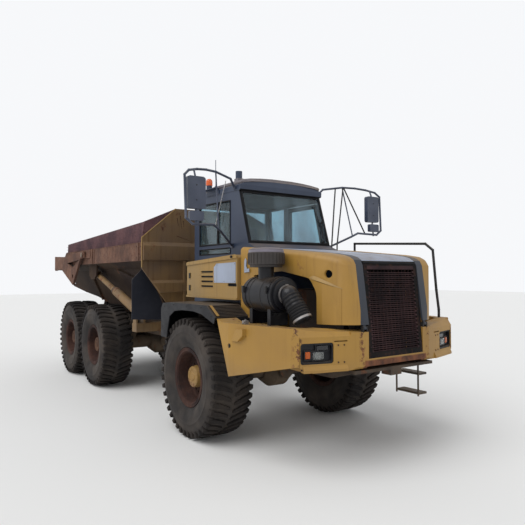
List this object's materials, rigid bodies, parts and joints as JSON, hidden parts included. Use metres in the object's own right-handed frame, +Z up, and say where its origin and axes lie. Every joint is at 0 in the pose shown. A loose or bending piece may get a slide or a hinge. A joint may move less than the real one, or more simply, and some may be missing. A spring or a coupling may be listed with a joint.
{
  "type": "articulated dump truck",
  "caption": "Articulated dump truck with a hinged front tractor unit, central cab, lifting bonnet, tipping body and linked tailgate on large lugged tyres.",
  "frame": {"origin": "middle of the overall length and width, on the ground under the tyres", "axes": "+X towards the nose, +Y towards the left side with the cab door, +Z up"},
  "size_m": [9.93, 3.5158, 3.8998],
  "materials": {
    "ochre_paint": "faded and dirty",
    "slate_paint": "satin",
    "white_paint": "satin, dirty",
    "rusty_plate": "rusty",
    "dark_steel": "dusty",
    "black_plastic": "matte",
    "black_metal": "satin",
    "bright_rod": "polished",
    "tyre": "dusty",
    "rim_paint": "rusty",
    "flap_rubber": "matte",
    "tinted_glass": "tinted",
    "lamp": "clear",
    "beacon_orange": "clear"
  },
  "bodies": {
    "rear_frame": {"rear_chassis": "ochre_paint", "outriggers": "ochre_paint", "walking_beams": "ochre_paint", "mid_axle": "dark_steel", "rear_axle": "dark_steel"},
    "swivel": {"knuckle": "ochre_paint"},
    "front_frame": {"front_chassis": "dark_steel", "front_axle": "dark_steel", "engine_block": "dark_steel", "bumper": "ochre_paint", "headlamps": "black_plastic", "lamp_lenses": "lamp", "grille": "rusty_plate", "bonnet_hinges": "black_metal", "cab_shell": "slate_paint", "cab_roof": "ochre_paint", "roof_gear": "black_metal", "cab_glass": "tinted_glass", "cab_interior": "black_plastic", "air_cleaner": "black_plastic", "pre_cleaner": "slate_paint", "side_box": "ochre_paint", "left_tank": "ochre_paint", "mudguards": "black_plastic", "steps": "black_metal", "handrails": "black_metal", "mirror_right": "black_plastic", "mirror_left": "black_plastic", "beacon": "beacon_orange"},
    "bonnet": {"bonnet_sides": "ochre_paint", "bonnet_stripes": "slate_paint", "bonnet_top": "white_paint"},
    "cab_door": {"cab_door": "slate_paint", "door_glass": "tinted_glass"},
    "bed": {"bed_shell": "ochre_paint", "bed_boards": "rusty_plate", "mud_flaps": "flap_rubber"},
    "tailgate": {"tailgate": "rusty_plate"},
    "tip_barrel_right": {"tip_barrel_right": "ochre_paint"},
    "tip_stage_right": {"tip_stage_right": "black_metal"},
    "tip_rod_right": {"tip_rod_right": "ochre_paint"},
    "steer_barrel_right": {"steer_barrel_right": "ochre_paint"},
    "steer_rod_right": {"steer_rod_right": "bright_rod"},
    "tip_barrel_left": {"tip_barrel_left": "ochre_paint"},
    "tip_stage_left": {"tip_stage_left": "black_metal"},
    "tip_rod_left": {"tip_rod_left": "ochre_paint"},
    "steer_barrel_left": {"steer_barrel_left": "ochre_paint"},
    "steer_rod_left": {"steer_rod_left": "bright_rod"},
    "wheel_front_right": {"tyre_front_right": "tyre", "rim_front_right": "rim_paint"},
    "wheel_front_left": {"tyre_front_left": "tyre", "rim_front_left": "rim_paint"},
    "wheel_mid_right": {"tyre_mid_right": "tyre", "rim_mid_right": "rim_paint"},
    "wheel_mid_left": {"tyre_mid_left": "tyre", "rim_mid_left": "rim_paint"},
    "wheel_rear_right": {"tyre_rear_right": "tyre", "rim_rear_right": "rim_paint"},
    "wheel_rear_left": {"tyre_rear_left": "tyre", "rim_rear_left": "rim_paint"}
  },
  "joints": [
    {"name": "frame_swivel", "type": "hinge", "parent": "rear_frame", "child": "swivel", "pos_m": [0.675, 0, 1], "axis": [1, 0, 0], "range_deg": [-10, 10]},
    {"name": "steering", "type": "hinge", "parent": "swivel", "child": "front_frame", "pos_m": [1.213, 0, 1], "axis": [0, 0, 1], "range_deg": [-45, 45]},
    {"name": "bed_tip", "type": "hinge", "parent": "rear_frame", "child": "bed", "pos_m": [-3.775, 0, 1.5], "axis": [0, -1, 0], "range_deg": [0, 70]},
    {"name": "tailgate_swing", "type": "hinge", "parent": "bed", "child": "tailgate", "pos_m": [-2.375, 0, 2.63], "axis": [0, 1, 0], "range_deg": [0, 35.5]},
    {"name": "bonnet_lid", "type": "hinge", "parent": "front_frame", "child": "bonnet", "pos_m": [4.941, 0, 1.604], "axis": [0, 1, 0], "range_deg": [0, 60]},
    {"name": "door_swing", "type": "hinge", "parent": "front_frame", "child": "cab_door", "pos_m": [1.995, 0.765, 2.5], "axis": [0, 0, 1], "range_deg": [0, 85]},
    {"name": "tip_cylinder_right", "type": "hinge", "parent": "rear_frame", "child": "tip_barrel_right", "pos_m": [0.155, -1.16, 1.527], "axis": [0, -1, 0], "range_deg": [-6.8, 0.2]},
    {"name": "tip_stage_slide_right", "type": "slide", "parent": "tip_barrel_right", "child": "tip_stage_right", "axis": [-0.9593, 0, 0.2824], "range_m": [0, 0.99]},
    {"name": "tip_rod_slide_right", "type": "slide", "parent": "tip_stage_right", "child": "tip_rod_right", "axis": [-0.9593, 0, 0.2824], "range_m": [0, 0.99]},
    {"name": "steer_cylinder_right", "type": "hinge", "parent": "front_frame", "child": "steer_barrel_right", "pos_m": [2.225, -0.56, 1.06], "axis": [0, 0, 1], "range_deg": [-12, 12]},
    {"name": "steer_rod_slide_right", "type": "slide", "parent": "steer_barrel_right", "child": "steer_rod_right", "axis": [-0.9943, 0.1063, 0], "range_m": [-0.345, 0.345]},
    {"name": "tip_cylinder_left", "type": "hinge", "parent": "rear_frame", "child": "tip_barrel_left", "pos_m": [0.155, 1.16, 1.527], "axis": [0, -1, 0], "range_deg": [-6.8, 0.2]},
    {"name": "tip_stage_slide_left", "type": "slide", "parent": "tip_barrel_left", "child": "tip_stage_left", "axis": [-0.9593, 0, 0.2824], "range_m": [0, 0.99]},
    {"name": "tip_rod_slide_left", "type": "slide", "parent": "tip_stage_left", "child": "tip_rod_left", "axis": [-0.9593, 0, 0.2824], "range_m": [0, 0.99]},
    {"name": "steer_cylinder_left", "type": "hinge", "parent": "front_frame", "child": "steer_barrel_left", "pos_m": [2.225, 0.56, 1.06], "axis": [0, 0, 1], "range_deg": [-12, 12]},
    {"name": "steer_rod_slide_left", "type": "slide", "parent": "steer_barrel_left", "child": "steer_rod_left", "axis": [-0.9943, -0.1063, 0], "range_m": [-0.345, 0.345]},
    {"name": "wheel_spin_front_right", "type": "hinge", "parent": "front_frame", "child": "wheel_front_right", "pos_m": [2.575, -1.178, 0.808], "axis": [0, 1, 0], "continuous": true},
    {"name": "wheel_spin_front_left", "type": "hinge", "parent": "front_frame", "child": "wheel_front_left", "pos_m": [2.575, 1.178, 0.808], "axis": [0, 1, 0], "continuous": true},
    {"name": "wheel_spin_mid_right", "type": "hinge", "parent": "rear_frame", "child": "wheel_mid_right", "pos_m": [-1.606, -1.178, 0.808], "axis": [0, 1, 0], "continuous": true},
    {"name": "wheel_spin_mid_left", "type": "hinge", "parent": "rear_frame", "child": "wheel_mid_left", "pos_m": [-1.606, 1.178, 0.808], "axis": [0, 1, 0], "continuous": true},
    {"name": "wheel_spin_rear_right", "type": "hinge", "parent": "rear_frame", "child": "wheel_rear_right", "pos_m": [-3.276, -1.178, 0.808], "axis": [0, 1, 0], "continuous": true},
    {"name": "wheel_spin_rear_left", "type": "hinge", "parent": "rear_frame", "child": "wheel_rear_left", "pos_m": [-3.276, 1.178, 0.808], "axis": [0, 1, 0], "continuous": true}
  ],
  "couplings": [
    {"joint": "tailgate_swing", "follows": "bed_tip", "ratio": 0.5},
    {"joint": "tip_cylinder_right", "follows": "bed_tip", "ratio": -0.0942},
    {"joint": "tip_stage_slide_right", "follows": "bed_tip", "m_per_rad": 0.8078},
    {"joint": "tip_rod_slide_right", "follows": "bed_tip", "m_per_rad": 0.8078},
    {"joint": "steer_cylinder_right", "follows": "steering", "ratio": -0.157},
    {"joint": "steer_rod_slide_right", "follows": "steering", "m_per_rad": 0.4236},
    {"joint": "tip_cylinder_left", "follows": "bed_tip", "ratio": -0.0942},
    {"joint": "tip_stage_slide_left", "follows": "bed_tip", "m_per_rad": 0.8078},
    {"joint": "tip_rod_slide_left", "follows": "bed_tip", "m_per_rad": 0.8078},
    {"joint": "steer_cylinder_left", "follows": "steering", "ratio": -0.157},
    {"joint": "steer_rod_slide_left", "follows": "steering", "m_per_rad": -0.4236}
  ]
}
